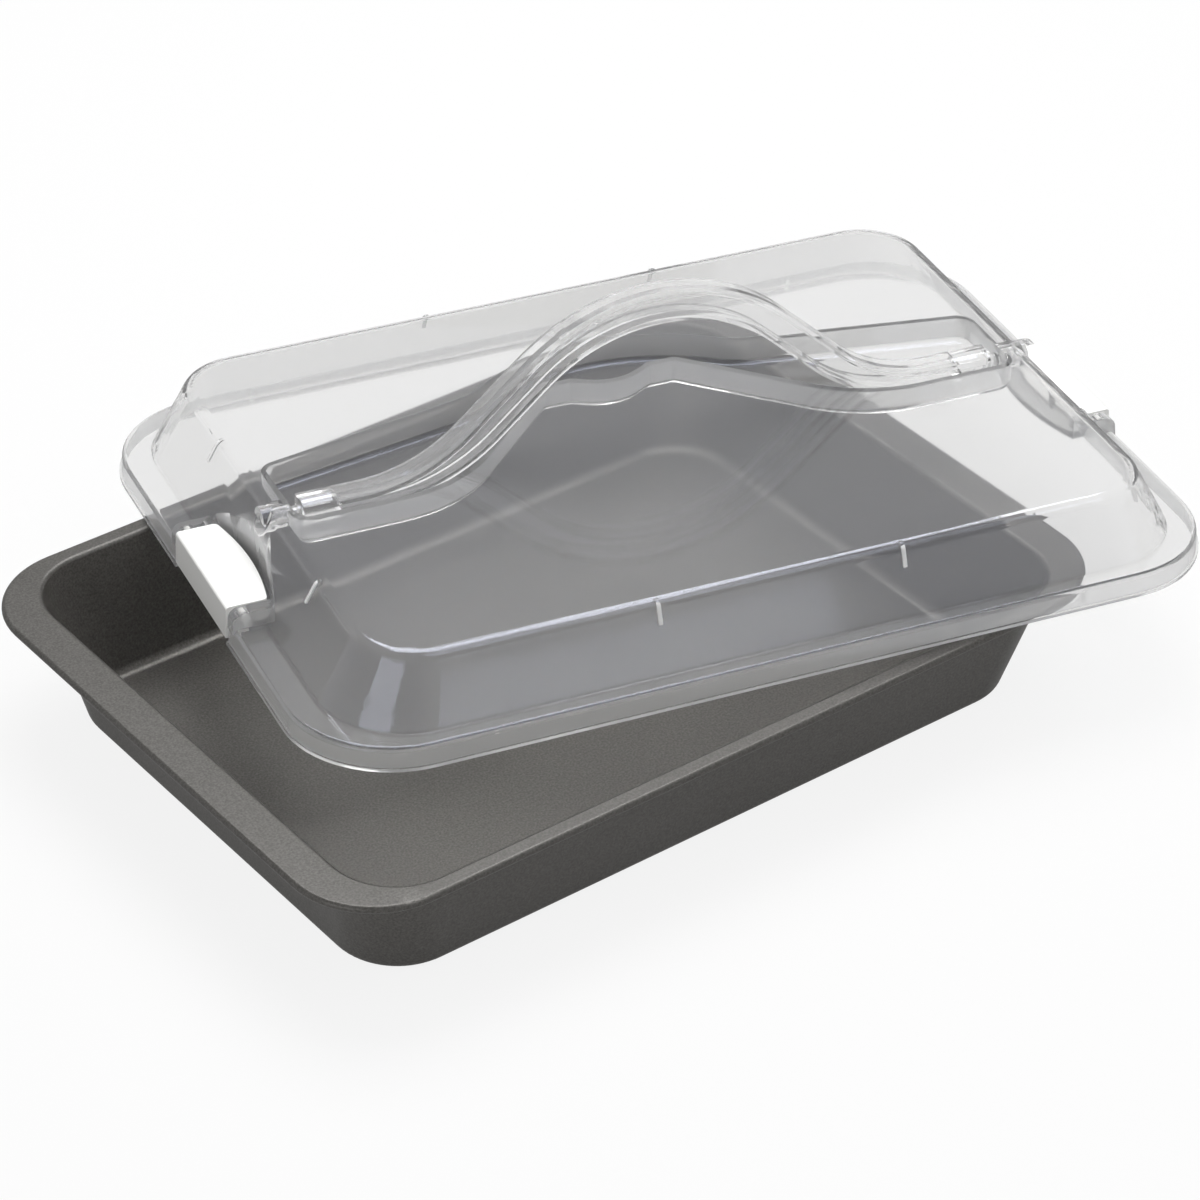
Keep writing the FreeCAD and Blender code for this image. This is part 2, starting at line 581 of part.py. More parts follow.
# The space under the lid, one wall inside the outer form
def lidInside():
    body = newBody("lidInside")
    foot = roundedBox(body, "coreFoot", "0", "coreFootLength", "coreFootWidth", "coreFootCorner")
    top = roundedBox(body, "coreShoulder", "coreShoulderHeight", "coreShoulderLength", "coreShoulderWidth",
                     "coreShoulderCorner")
    loft(body, "coreSkirt", "AdditiveLoft", foot, top)
    domeFoot = roundedBox(body, "coreDomeFoot", "coreShoulderHeight", "coreDomeLength", "coreDomeWidth",
                          "coreDomeCorner")
    domeTop = roundedBox(body, "coreDomeTop", "coreTopHeight", "coreTopLength", "coreTopWidth",
                         "coreTopCorner")
    dome = loft(body, "coreDome", "AdditiveLoft", domeFoot, domeTop)
    crest = amount("coreTopHeight")
    fillet(body, "coreEdge", dome, lambda p: near(p.z, crest), "coreRound")
    return body


# The handle's recess: straight front wall, brow with a finger notch, rear wall
# that follows the folded crown
def recessForm():
    body = newBody("recessForm")
    corners = [
        ("0", "notchBottom", "notchRound"),
        ("notchHalf", "browLine", "notchEdge"),
        ("browHalf", "browLine", "browRound"),
        ("browFootX", "-recessFrontWall", "recessFrontBend"),
        ("recessHalfLength", "-recessFrontWall", "recessCorner"),
        ("recessHalfLength", "recessRearEnd", "recessCorner"),
        ("recessJointX", "recessJointY", "recessRearBend"),
        ("0", "recessCrownApex", "recessCrown"),
    ]
    left = [("-" + x, y, radius) for x, y, radius in reversed(corners[1:-1])]
    sketch = outline(body, "recessOutline", "XY_Plane", "recessFloor", corners + left)
    block = pad(body, "recessBlock", sketch, "Sizes.recessDepth + Sizes.overcut")
    low = amount("recessFloor")
    fillet(body, "recessFootRound", block, lambda p: near(p.z, low), "recessFoot")
    return body


def box(name, low, high):
    """A block between two corners, each an (x, y, z) of expressions."""
    block = doc.addObject("Part::Box", name)
    for side, start, end in zip(("Length", "Width", "Height"), low, high):
        block.setExpression(side, "(%s) - (%s)" % (end, start))
    for axis, start in zip("xyz", low):
        block.setExpression(".Placement.Base." + axis, start)
    return block


def rod(name, radius, length, place, axis):
    """A cylinder centred on a place, along X, Y or Z."""
    cylinder = doc.addObject("Part::Cylinder", name)
    cylinder.setExpression("Radius", radius)
    cylinder.setExpression("Height", length)
    spin = {"X": FreeCAD.Rotation(Vector(0, 1, 0), 90), "Y": FreeCAD.Rotation(Vector(1, 0, 0), -90),
            "Z": FreeCAD.Rotation()}[axis]
    cylinder.Placement = FreeCAD.Placement(Vector(), spin)
    for letter, centre in zip("xyz", place):
        shift = " - (%s) / 2" % length if letter == axis.lower() else ""
        cylinder.setExpression(".Placement.Base." + letter, centre + shift)
    return cylinder


def common(name, first, second):
    result = doc.addObject("Part::Common", name)
    result.Base = first
    result.Tool = second
    return result


def fuse(name, shapes):
    result = doc.addObject("Part::MultiFuse", name)
    result.Shapes = shapes
    return result


def cut(name, base, tool):
    result = doc.addObject("Part::Cut", name)
    result.Base = base
    result.Tool = tool
    doc.recompute()
    return result


def pocket(name, side, grown):
    """The arched pocket behind a latch, or the same grown by the wall."""
    extra = " + Sizes.lidWall" if grown else ""
    less = " - Sizes.lidWall" if grown else ""
    curve = rod(name + "Curve", "Sizes.pocketCurve" + extra, "Sizes.domeHeight * 2",
                ("%d * Sizes.pocketCentre" % side, "0", "Sizes.shoulderHeight + Sizes.domeHeight%s" % less), "Z")
    slab = box(name + "Slab",
               ("-2 * Sizes.lidHalfLength", "-Sizes.pocketHalf" + less, "Sizes.shoulderHeight" + less),
               ("2 * Sizes.lidHalfLength", "Sizes.pocketHalf" + extra, "Sizes.domeHeight"))
    return common(name, curve, slab)


def fourOf(name, role, offset, corners, thickness, first, second):
    """A slab of an outline, mirrored across two of its body's planes."""
    body = newBody(name)
    sketch = outline(body, name + "Outline", role, offset, corners)
    slab = pad(body, name + "Slab", sketch, thickness)
    mirrored(body, name + "Pair", [slab], first)
    both = body.newObject("PartDesign::Mirrored", name + "Four")
    both.TransformMode = "Whole shape"
    plane = next(item for item in body.Origin.OriginFeatures if item.Role == second)
    both.MirrorPlane = (plane, [""])
    body.Tip = both
    doc.recompute()
    return body


# Four ears that hold the latch pins
def earForms():
    corners = [
        ("earInner", "earFoot", "0"),
        ("skirtHalfLength", "earFoot", "0"),
        ("skirtTopLength", "earHeight", "earRound"),
        ("earInner", "earHeight", "0"),
    ]
    return fourOf("ears", "XZ_Plane", "bayHalf", corners, "Sizes.earWidth", "XZ_Plane", "YZ_Plane")


# Short upright ribs over the dome's top edge, two to each wall
def ribForms():
    ends = [
        ("endRibInner", "ribFoot", "0"),
        ("endRibFoot", "ribFoot", "0"),
        ("endRibTop", "ribTop", "ribRound"),
        ("endRibInner", "ribTop", "0"),
    ]
    sides = [
        ("sideRibInner", "ribFoot", "0"),
        ("sideRibFoot", "ribFoot", "0"),
        ("sideRibTop", "ribTop", "ribRound"),
        ("sideRibInner", "ribTop", "0"),
    ]
    return [
        fourOf("endRibs", "XZ_Plane", "ribAcross", ends, "Sizes.ribWidth", "XZ_Plane", "YZ_Plane"),
        fourOf("sideRibs", "YZ_Plane", "ribAlong", sides, "Sizes.ribWidth", "YZ_Plane", "XZ_Plane"),
    ]


# Short spacer ribs inside the long skirts, which keep the lid off the rim
def spacerForms():
    spacers = []
    for word, side in (("Front", -1), ("Rear", 1)):
        faces = ["%d * (Sizes.coreFootWidth - Sizes.spacerProud)" % side,
                 "%d * Sizes.skirtTopWidth" % side]
        low, high = faces if side > 0 else faces[::-1]
        for hand, way in (("Left", -1), ("Right", 1)):
            middle = "%d * Sizes.spacerAlong" % way
            spacers.append(box("spacer" + word + hand,
                               (middle + " - Sizes.ribWidth / 2", low, "Sizes.spacerFoot"),
                               (middle + " + Sizes.ribWidth / 2", high, "Sizes.spacerTop")))
    return spacers


# The lid: outer form less the recess and pockets, less the space under it,
# which keeps one wall away from both
def makeLid():
    outside = lidOutside()
    inside = lidInside()
    recess = recessForm()
    tub = doc.addObject("Part::Offset", "recessTub")
    tub.Source = recess
    tub.setExpression("Value", "Sizes.lidWall")
    tub.Join = "Intersection"
    pockets = [pocket("pocket" + word, side, False) for word, side in (("Right", 1), ("Left", -1))]
    tubs = [pocket("tub" + word, side, True) for word, side in (("Right", 1), ("Left", -1))]
    doc.recompute()
    openForm = cut("lidOpenForm", outside, fuse("lidHollows", [recess] + pockets))
    eared = fuse("lidEared", [openForm, earForms()] + ribForms())
    space = cut("lidSpace", inside, fuse("lidTubs", [tub] + tubs))
    shell = cut("lidShell", eared, space)
    hinge = ("0", "Sizes.hingeForward", "Sizes.hingeHeight")
    bosses = []
    for word, side in (("Right", 1), ("Left", -1)):
        middle = "%d * (Sizes.recessHalfLength + Sizes.bossFace) / 2" % side
        bosses.append(rod("boss" + word, "Sizes.bossRadius", "Sizes.bossReach",
                          (middle, hinge[1], hinge[2]), "X"))
    bossed = fuse("lidBossed", [shell] + bosses + spacerForms())
    cuts = []
    for word, side in (("Right", 1), ("Left", -1)):
        middle = "%d * (Sizes.hingeBoreEnd - Sizes.hingeBoreLength / 2)" % side
        cuts.append(rod("hingeBore" + word, "Sizes.pinRadius + Sizes.pinClearance",
                        "Sizes.hingeBoreLength", (middle, hinge[1], hinge[2]), "X"))
        cuts.append(rod("latchBore" + word, "Sizes.latchPinRadius + Sizes.pinClearance",
                        "2 * (Sizes.bayHalf + Sizes.earBore)",
                        ("%d * Sizes.latchAxis" % side, "0", "Sizes.latchAxisHeight"), "Y"))
        inner = "Sizes.bayInner" if side > 0 else "-Sizes.lidHalfLength - Sizes.overcut"
        outer = "Sizes.lidHalfLength + Sizes.overcut" if side > 0 else "-Sizes.bayInner"
        cuts.append(box("bay" + word, (inner, "-Sizes.bayHalf", "-Sizes.overcut"),
                        (outer, "Sizes.bayHalf", "Sizes.domeHeight")))
    return cut("lid", bossed, fuse("lidCuts", cuts))


# The carrying handle, upright, its hinge line along X through its own origin
def makeHandle():
    body = newBody("carry_handle")
    half = [
        ("rootOuterX", "armTop", "rootRadiusOuter"),
        ("handleHalfLength", "armTop", "0"),
        ("handleHalfLength", "-armDrop", "0"),
        ("rootInnerX", "-armDrop", "rootRadiusInner"),
    ]
    arch = archOutline(body, "arch", "0", half, ("crownApexOuter", "crownRadius"),
                       ("crownApexInner", "crownRadiusInner"))
    pad(body, "bow", arch, "Sizes.handleWidth", symmetric=True)
    tab = [
        ("-tabFarX", "tabFarZ", "0"),
        ("-tabRootFarX", "tabRootFarZ", "0"),
        ("-tabRootNearX", "tabRootNearZ", "0"),
        ("-tabNearX", "tabNearZ", "0"),
    ]
    tabSketch = outline(body, "tabOutline", "XZ_Plane", "0", tab)
    bow = pad(body, "tab", tabSketch, "Sizes.handleWidth - 2 * Sizes.sideCorner", symmetric=True)
    side = [
        ("sideRootOuterX", "sideTop", "sideRootOuter"),
        ("sideEnd", "sideTop", "sideCorner"),
        ("sideEnd", "sideBottom", "sideCorner"),
        ("sideRootInnerX", "sideBottom", "sideRootInner"),
    ]
    hollow = archOutline(body, "sideHollow", "handleHalfWidth", side, ("sideApexOuter", "sideCrownOuter"),
                         ("sideApexInner", "sideCrownInner"))
    channel = body.newObject("PartDesign::Pocket", "frontChannel")
    channel.Profile = (hollow, [""])
    channel.setExpression("Length", "Sizes.sideDepth")
    doc.recompute()
    if channel.Shape.Volume > bow.Shape.Volume - 1:
        channel.Reversed = True
        doc.recompute()
    mirrored(body, "backChannel", [channel], "XZ_Plane")
    barrelDisc = disc(body, "barrelDisc", "YZ_Plane", "sideEnd", "0", "0", "handleHalfWidth")
    barrel = pad(body, "barrel", barrelDisc, "Sizes.barrelLength")
    pinDisc = disc(body, "pinDisc", "YZ_Plane", "sideEnd", "0", "0", "pinRadius")
    stub = pad(body, "stubPin", pinDisc, "Sizes.barrelLength + Sizes.pinReach")
    mirrored(body, "farEnd", [barrel, stub], "YZ_Plane")
    return body


def archOutline(body, name, offset, half, outer, inner):
    """A bow from its right half: outer crown, arm, inner crown, mirrored arm."""
    left = [("-" + x, y, radius) for x, y, radius in reversed(half)]
    corners = [("0", outer[0], outer[1])] + half + [("0", inner[0], inner[1])] + left
    return outline(body, name, "XZ_Plane", offset, corners)


# A rocker latch, its pin along Y through its own origin, outer face towards +X
def makeLatch(label):
    body = newBody(label)
    plan = [
        ("latchInnerX", "latchHalf", "0"),
        ("-latchShoulder", "latchHalf", "latchCorner"),
        ("-latchApex", "0", "latchCurve"),
        ("-latchShoulder", "-latchHalf", "latchCorner"),
        ("latchInnerX", "-latchHalf", "0"),
    ]
    sketch = outline(body, "thumbPlan", "XY_Plane", "latchPlateZ", plan)
    pad(body, "thumbPlate", sketch, "Sizes.latchPlate")
    section = [
        ("latchFace", "-latchFootZ", "0"),
        ("latchFaceTop", "latchTopZ", "latchRound"),
        ("0", "latchTopZ", "0"),
        ("0", "latchPlateZ", "0"),
        ("latchInnerX", "latchPlateZ", "0"),
        ("latchInnerX", "-hookTopZ", "0"),
        ("-hookReach", "-hookTopZ", "0"),
        ("-hookReach", "-latchFootZ", "0"),
    ]
    profile = outline(body, "faceSection", "XZ_Plane", "0", section)
    pad(body, "face", profile, "2 * Sizes.latchHalf", symmetric=True)
    pinDisc = disc(body, "pinDisc", "XZ_Plane", "0", "0", "0", "latchPinRadius")
    pad(body, "pin", pinDisc, "2 * (Sizes.latchHalf + Sizes.latchPinReach)", symmetric=True)
    return body


# How the lid lies: its skirt on the front and rear rims, the pan's far corner
# under its shoulder
def lidRest():
    yaw = math.radians(amount("lidYaw"))
    along = Vector(math.cos(yaw), math.sin(yaw), 0)
    across = Vector(-math.sin(yaw), math.cos(yaw), 0)
    middle = Vector(amount("lidShiftX"), amount("lidShiftY"), 0)
    rim = amount("rimHalfWidth")
    skirtEnd = amount("skirtHalfLength") - amount("lidWall") / 2
    skirtSide = amount("skirtHalfWidth") - amount("lidWall") / 2
    front = middle - across * skirtSide
    front = front + along * ((-rim - front.y) / along.y)
    rear = middle - along * skirtEnd
    rear = rear + across * ((rim - rear.y) / across.y)
    away = Vector(0, 0, 1).cross(rear - front).normalize() * -1
    corner = Vector(amount("rimHalfLength") - amount("rimLineCorner"), rim - amount("rimLineCorner"), 0)
    corner = corner + away * amount("rimLineCorner")
    seat = amount("panDepth") + amount("restGap")
    front.z = seat
    rear.z = seat
    corner.z = seat - amount("coreShoulderHeight") - amount("restRise")
    up = (corner - front).cross(rear - front).normalize()
    if up.z < 0:
        up = up * -1
    height = seat - ((middle.x - front.x) * up.x + (middle.y - front.y) * up.y) / up.z
    turn = FreeCAD.Rotation(along, across, up, "ZXY")
    return FreeCAD.Placement(Vector(middle.x, middle.y, height), turn)


pan = makePan()
lid = makeLid()
handle = makeHandle()
rightLatch = makeLatch("right_latch")
leftLatch = makeLatch("left_latch")

# Places at rest
rest = lidRest()
hingePlace = Vector(0, amount("hingeForward"), amount("hingeHeight"))
pinPlace = Vector(amount("latchAxis"), 0, amount("latchAxisHeight"))
farPlace = Vector(-pinPlace.x, 0, pinPlace.z)
lid.Placement = rest
handle.Placement = rest.multiply(FreeCAD.Placement(hingePlace, FreeCAD.Rotation()))
rightLatch.Placement = rest.multiply(FreeCAD.Placement(pinPlace, FreeCAD.Rotation()))
leftLatch.Placement = rest.multiply(FreeCAD.Placement(farPlace, FreeCAD.Rotation(Vector(0, 0, 1), 180)))
doc.recompute()

for item in doc.Objects:
    if "Invalid" in item.State or "Error" in item.State:
        raise RuntimeError("%s did not build: %s" % (item.Name, item.State))

os.makedirs("parts", exist_ok=True)
for piece in (pan, lid, handle, leftLatch, rightLatch):
    shape = piece.Shape
    if shape.isNull() or not shape.isValid():
        raise RuntimeError("%s has no valid shape" % piece.Label)
    print(piece.Label, "solids", len(shape.Solids), "faces", len(shape.Faces), "volume", round(shape.Volume))
    shape.exportStep("parts/%s.step" % piece.Label)
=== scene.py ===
import bpy
import bmesh
import json
import math
from mathutils import Matrix, Vector


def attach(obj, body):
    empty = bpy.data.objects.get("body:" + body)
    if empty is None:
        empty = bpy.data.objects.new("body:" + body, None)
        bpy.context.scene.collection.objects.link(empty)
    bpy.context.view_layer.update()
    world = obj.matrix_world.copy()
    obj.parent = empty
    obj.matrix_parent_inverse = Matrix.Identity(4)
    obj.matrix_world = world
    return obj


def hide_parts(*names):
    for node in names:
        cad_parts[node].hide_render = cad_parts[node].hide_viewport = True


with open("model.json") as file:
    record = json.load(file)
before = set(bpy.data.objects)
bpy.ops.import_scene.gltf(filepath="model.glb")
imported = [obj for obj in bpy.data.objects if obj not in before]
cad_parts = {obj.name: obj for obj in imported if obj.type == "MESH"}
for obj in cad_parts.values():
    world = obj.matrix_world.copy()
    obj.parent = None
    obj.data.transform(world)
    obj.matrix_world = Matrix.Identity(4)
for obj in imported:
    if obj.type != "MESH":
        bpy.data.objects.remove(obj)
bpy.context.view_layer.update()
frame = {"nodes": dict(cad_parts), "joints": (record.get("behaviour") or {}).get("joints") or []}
print("frame loaded")


# helpers

def srgb(hexText, alpha=1.0):
    # hex as a paint chip reads, to the linear value a shader takes
    parts = [int(hexText[i:i + 2], 16) / 255 for i in (1, 3, 5)]
    linear = [c / 12.92 if c <= 0.04045 else ((c + 0.055) / 1.055) ** 2.4 for c in parts]
    return (*linear, alpha)


def addNode(tree, kind, settings=None, links=None):
    # a node, its settings and what feeds its sockets
    node = tree.nodes.new(kind)
    for name, value in (settings or {}).items():
        if hasattr(node, name) and name not in node.inputs:
            setattr(node, name, value)
        else:
            node.inputs[name].default_value = value
    for name, source in (links or {}).items():
        tree.links.new(source, node.inputs[name])
    return node


def newMaterial(name):
    material = bpy.data.materials.new(name)
    material.use_nodes = True
    material.node_tree.nodes.clear()
    return material, material.node_tree


def smoothCopy(nodeName, pieceName, body, material, crease=32, edge=0.0):
    # the solid's own form with shared points, so that light runs round its bends
    source = frame["nodes"][nodeName]
    mesh = bpy.data.meshes.new(pieceName)
    form = bmesh.new()
    form.from_mesh(source.data)
    bmesh.ops.remove_doubles(form, verts=form.verts, dist=1e-6)
    for face in form.faces:
        face.smooth = True
    for line in form.edges:
        if len(line.link_faces) == 2:
            line.smooth = line.calc_face_angle(0) < math.radians(crease)
    form.to_mesh(mesh)
    form.free()
    mesh.materials.clear()
    mesh.materials.append(material)
    piece = bpy.data.objects.new(pieceName, mesh)
    bpy.context.scene.collection.objects.link(piece)
    if edge:
        soft = piece.modifiers.new("softEdges", "BEVEL")
        soft.width = edge
        soft.segments = 2
        soft.limit_method = "ANGLE"
        soft.angle_limit = math.radians(crease)
        soft.harden_normals = True
    even = piece.modifiers.new("evenNormals", "WEIGHTED_NORMAL")
    even.keep_sharp = True
    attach(piece, body)
    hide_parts(nodeName)
    return piece


# camera, at the photograph's angle

cameraSet = {"lens": 134.0, "sensor": 36.0, "azimuth": -37.0, "elevation": 35.48,
             "distance": 1.76626, "target": (0.02853, 0.00299, 0.030)}


def addCamera(s):
    data = bpy.data.cameras.new("photoCamera")
    data.lens = s["lens"]
    data.sensor_width = s["sensor"]
    data.clip_start = 0.05
    data.clip_end = 60
    camera = bpy.data.objects.new("photoCamera", data)
    bpy.context.scene.collection.objects.link(camera)
    a = math.radians(s["azimuth"])
    e = math.radians(s["elevation"])
    back = Vector((math.sin(a) * math.cos(e), -math.cos(a) * math.cos(e), math.sin(e)))
    camera.location = Vector(s["target"]) + back * s["distance"]
    camera.rotation_euler = (-back).to_track_quat("-Z", "Y").to_euler()
    bpy.context.scene.camera = camera


addCamera(cameraSet)
print("camera set")

# materials

# in coating, the rim keys set painted shade: the flat rim's colour is darkened from rimFoot up to rimTop
coating = {"colour": "#4e4c49", "light": "#676562", "roughness": 0.36, "metallic": 0.4, "ior": 1.45,
           "grain": 0.0009, "grainDepth": 0.00006, "grainBump": 0.35,
           "cloud": 0.05, "dullest": 0.04, "glossiest": 0.03,
           "rimFoot": 0.0515, "rimTop": 0.0528, "rimPaintedShade": 0.76}
# in hazy, steep against flat sets painted light: the walls are made milkier and paler than the top
hazy = {"colour": "#ffffff", "glint": "#e4eaff", "roughness": 0.05, "ior": 1.49, "flat": 0.95, "steep": 0.67,
        "wallSlope": 0.06, "topSlope": 0.42, "flow": 0.03, "flowDepth": 0.0002, "flowBump": 0.2}
# ribs: whitish, frosted and painted highlight that makes the ribs stand out as pale strokes
ribs = {"colour": "#ffffff", "roughness": 0.3, "ior": 1.49, "transmission": 0.4,
        "grit": 0.0004, "gritDepth": 0.00003, "gritBump": 0.3}
clear = {"colour": "#ffffff", "roughness": 0.0, "ior": 1.57, "transmission": 0.93, "glint": 1.0}
white = {"colour": "#f3f3f1", "roughness": 0.22, "ior": 1.52,
         "peel": 0.002, "peelDepth": 0.00004, "peelBump": 0.15}


def nonStickSteel(s):
    # sprayed and baked non-stick coating on pressed steel: a warm dark grey with a
    # fine speckled grain that breaks up the highlights; the flat rim is coloured a shade
    # darker, painted shade that stands in for the lesser light falling on it
    material, tree = newMaterial("nonStickCoatedSteel")
    place = addNode(tree, "ShaderNodeTexCoord").outputs["Object"]
    grain = addNode(tree, "ShaderNodeTexNoise",
                    {"Scale": 1 / s["grain"], "Detail": 3.0, "Roughness": 0.6}, {"Vector": place})
    cloud = addNode(tree, "ShaderNodeTexNoise",
                    {"Scale": 1 / s["cloud"], "Detail": 2.0}, {"Vector": place})
    tone = addNode(tree, "ShaderNodeValToRGB", {}, {"Fac": grain.outputs["Fac"]})
    tone.color_ramp.elements[0].position = 0.35
    tone.color_ramp.elements[0].color = srgb(s["colour"])
    tone.color_ramp.elements[1].position = 0.68
    tone.color_ramp.elements[1].color = srgb(s["light"])
    # painted shade: from the rim's foot up, the colour is scaled darker on the flat rim
    height = addNode(tree, "ShaderNodeSeparateXYZ", {}, {"Vector": place})
    shade = addNode(tree, "ShaderNodeMapRange",
                    {"From Min": s["rimFoot"], "From Max": s["rimTop"],
                     "To Min": 1.0, "To Max": s["rimPaintedShade"]}, {"Value": height.outputs["Z"]})
    toneAndRimShade = addNode(tree, "ShaderNodeVectorMath", {"operation": "SCALE"},
                   {"Vector": tone.outputs["Color"], "Scale": shade.outputs["Result"]})
    dull = addNode(tree, "ShaderNodeMapRange",
                   {"From Min": 0.3, "From Max": 0.7, "To Min": s["roughness"] - s["glossiest"],
                    "To Max": s["roughness"] + s["dullest"]}, {"Value": cloud.outputs["Fac"]})
    bump = addNode(tree, "ShaderNodeBump", {"Strength": s["grainBump"], "Distance": s["grainDepth"]},
                   {"Height": grain.outputs["Fac"]})
    skin = addNode(tree, "ShaderNodeBsdfPrincipled", {"Metallic": s["metallic"], "IOR": s["ior"]},
                   {"Base Color": toneAndRimShade.outputs["Vector"], "Roughness": dull.outputs["Result"],
                    "Normal": bump.outputs["Normal"]})
    addNode(tree, "ShaderNodeOutputMaterial", {}, {"Surface": skin.outputs["BSDF"]})
    return material


def hazyPlastic(s):
    # injection moulded clear polypropylene: see-through with a faint bluish milky haze,
    # clearest on its flat top and milkier down its drafted walls, painted light that stands in
    # for the paler look light gives them; the walls are very slightly wavy from the way the melt ran
    material, tree = newMaterial("clearMouldedPolypropylene")
    place = addNode(tree, "ShaderNodeTexCoord")
    facing = addNode(tree, "ShaderNodeSeparateXYZ", {}, {"Vector": place.outputs["Normal"]})
    slope = addNode(tree, "ShaderNodeMath", {"operation": "ABSOLUTE"})
    tree.links.new(facing.outputs["Z"], slope.inputs[0])
    # painted light: faces turned to the side get less transmission, so the walls read paler than the top
    hazeAndPaintedWallLight = addNode(tree, "ShaderNodeMapRange",
                   {"From Min": s["wallSlope"], "From Max": s["topSlope"],
                    "To Min": s["steep"], "To Max": s["flat"]},
                   {"Value": slope.outputs[0]})
    flow = addNode(tree, "ShaderNodeTexNoise",
                   {"Scale": 1 / s["flow"], "Detail": 1.0}, {"Vector": place.outputs["Object"]})
    bump = addNode(tree, "ShaderNodeBump", {"Strength": s["flowBump"], "Distance": s["flowDepth"]},
                   {"Height": flow.outputs["Fac"]})
    skin = addNode(tree, "ShaderNodeBsdfPrincipled",
                   {"Base Color": srgb(s["colour"]), "Roughness": s["roughness"], "IOR": s["ior"],
                    "Specular Tint": srgb(s["glint"])},
                   {"Transmission Weight": hazeAndPaintedWallLight.outputs["Result"], "Normal": bump.outputs["Normal"]})
    addNode(tree, "ShaderNodeOutputMaterial", {}, {"Surface": skin.outputs["BSDF"]})
    return material


def frostedRibWithPaintedHighlight(s):
    # the same plastic on the small ribs, left unpolished in the mould: whitish and dull, frosted
    # and with painted highlight, so that they stand out as pale strokes
    material, tree = newMaterial("frostedPolypropyleneRibPaintedHighlight")
    place = addNode(tree, "ShaderNodeTexCoord").outputs["Object"]
    grit = addNode(tree, "ShaderNodeTexNoise", {"Scale": 1 / s["grit"], "Detail": 2.0}, {"Vector": place})
    bump = addNode(tree, "ShaderNodeBump", {"Strength": s["gritBump"], "Distance": s["gritDepth"]},
                   {"Height": grit.outputs["Fac"]})
    skin = addNode(tree, "ShaderNodeBsdfPrincipled",
                   {"Base Color": srgb(s["colour"]), "Roughness": s["roughness"], "IOR": s["ior"],
                    "Transmission Weight": s["transmission"]}, {"Normal": bump.outputs["Normal"]})
    addNode(tree, "ShaderNodeOutputMaterial", {}, {"Surface": skin.outputs["BSDF"]})
    return material


def clearPlastic(s):
    # polished clear styrene of the handle: glassy, with sharp bright and dark streaks and
    # a trace of milk in its thick rims
    material, tree = newMaterial("clearPolishedStyrene")
    skin = addNode(tree, "ShaderNodeBsdfPrincipled",
                   {"Base Color": srgb(s["colour"]), "Roughness": s["roughness"], "IOR": s["ior"],
                    "Transmission Weight": s["transmission"], "Specular IOR Level": s["glint"]})
    addNode(tree, "ShaderNodeOutputMaterial", {}, {"Surface": skin.outputs["BSDF"]})
    return material


def whitePlastic(s):
    # moulded white ABS: bright, evenly glossy, with a trace of orange peel
    material, tree = newMaterial("mouldedWhiteAbs")
    place = addNode(tree, "ShaderNodeTexCoord").outputs["Object"]
    peel = addNode(tree, "ShaderNodeTexNoise", {"Scale": 1 / s["peel"], "Detail": 2.0}, {"Vector": place})
    bump = addNode(tree, "ShaderNodeBump", {"Strength": s["peelBump"], "Distance": s["peelDepth"]},
                   {"Height": peel.outputs["Fac"]})
    skin = addNode(tree, "ShaderNodeBsdfPrincipled",
                   {"Base Color": srgb(s["colour"]), "Roughness": s["roughness"], "IOR": s["ior"]},
                   {"Normal": bump.outputs["Normal"]})
    addNode(tree, "ShaderNodeOutputMaterial", {}, {"Surface": skin.outputs["BSDF"]})
    return material


panSkin = nonStickSteel(coating)
hazySkin = hazyPlastic(hazy)
ribSkin = frostedRibWithPaintedHighlight(ribs)
clearSkin = clearPlastic(clear)
whiteSkin = whitePlastic(white)
print("materials made")

# pieces

smoothCopy("pan", "pressedPan", "pan_with_lid", panSkin)
moulded = smoothCopy("lid", "mouldedLid", "pan_with_lid", hazySkin, edge=0.0003)
smoothCopy("carry_handle", "carryBow", "handle", clearSkin, edge=0.0003)
smoothCopy("left_latch", "leftRocker", "left_rocker", whiteSkin)
smoothCopy("right_latch", "rightRocker", "right_rocker", whiteSkin)

# the lid's sizes in its own frame, and where its ribs are there: over the dome's edge on
# the long walls and the end walls, and inside the skirt (along, across, up; from, to)
lidSet = {"pinHeight": 0.0124, "shoulder": 0.0095, "domeRise": 0.02775,
          "domeHalf": (0.1776, 0.126), "domeLean": (0.0157, 0.0096), "ribFace": 3e-5,
          "ribs": [((0.048, 0.052), (0.1162, 0.125), (0.0282, 0.0374)),
                   ((0.1622, 0.172), (0.0522, 0.0558), (0.0282, 0.0374)),
                   ((0.1208, 0.1232), (0.1315, 0.1328), (0.0025, 0.0088))]}


def lidFrame(s):
    # how the lid lies, from its pins: its middle at the skirt's foot, along, across and up
    joints = {joint["name"]: joint for joint in frame["joints"]}
    along = -Vector(joints["handle_fold"]["axis"])
    across = Vector(joints["left_latch_rock"]["axis"])
    up = along.cross(across)
    pins = [Vector(joints[name]["pos_m"]) for name in ("left_latch_rock", "right_latch_rock")]
    return (pins[0] + pins[1]) / 2 - up * s["pinHeight"], along, across, up


def markRibs(piece, material, s):
    # the rib material on the faces that lie in a rib's place and stand off the wall
    piece.data.materials.append(material)
    origin, along, across, up = lidFrame(s)
    for face in piece.data.polygons:
        way = face.center - origin
        spot = [abs(way.dot(along)), abs(way.dot(across)), way.dot(up)]
        rise = (spot[2] - s["shoulder"]) / s["domeRise"]
        proud = any(spot[i] > s["domeHalf"][i] - s["domeLean"][i] * rise for i in (0, 1))
        for rib in s["ribs"]:
            inside = all(low < value < high for value, (low, high) in zip(spot, rib))
            if inside and proud and face.area < s["ribFace"]:
                face.material_index = 1


markRibs(moulded, ribSkin, lidSet)
print("pieces made")

# studio

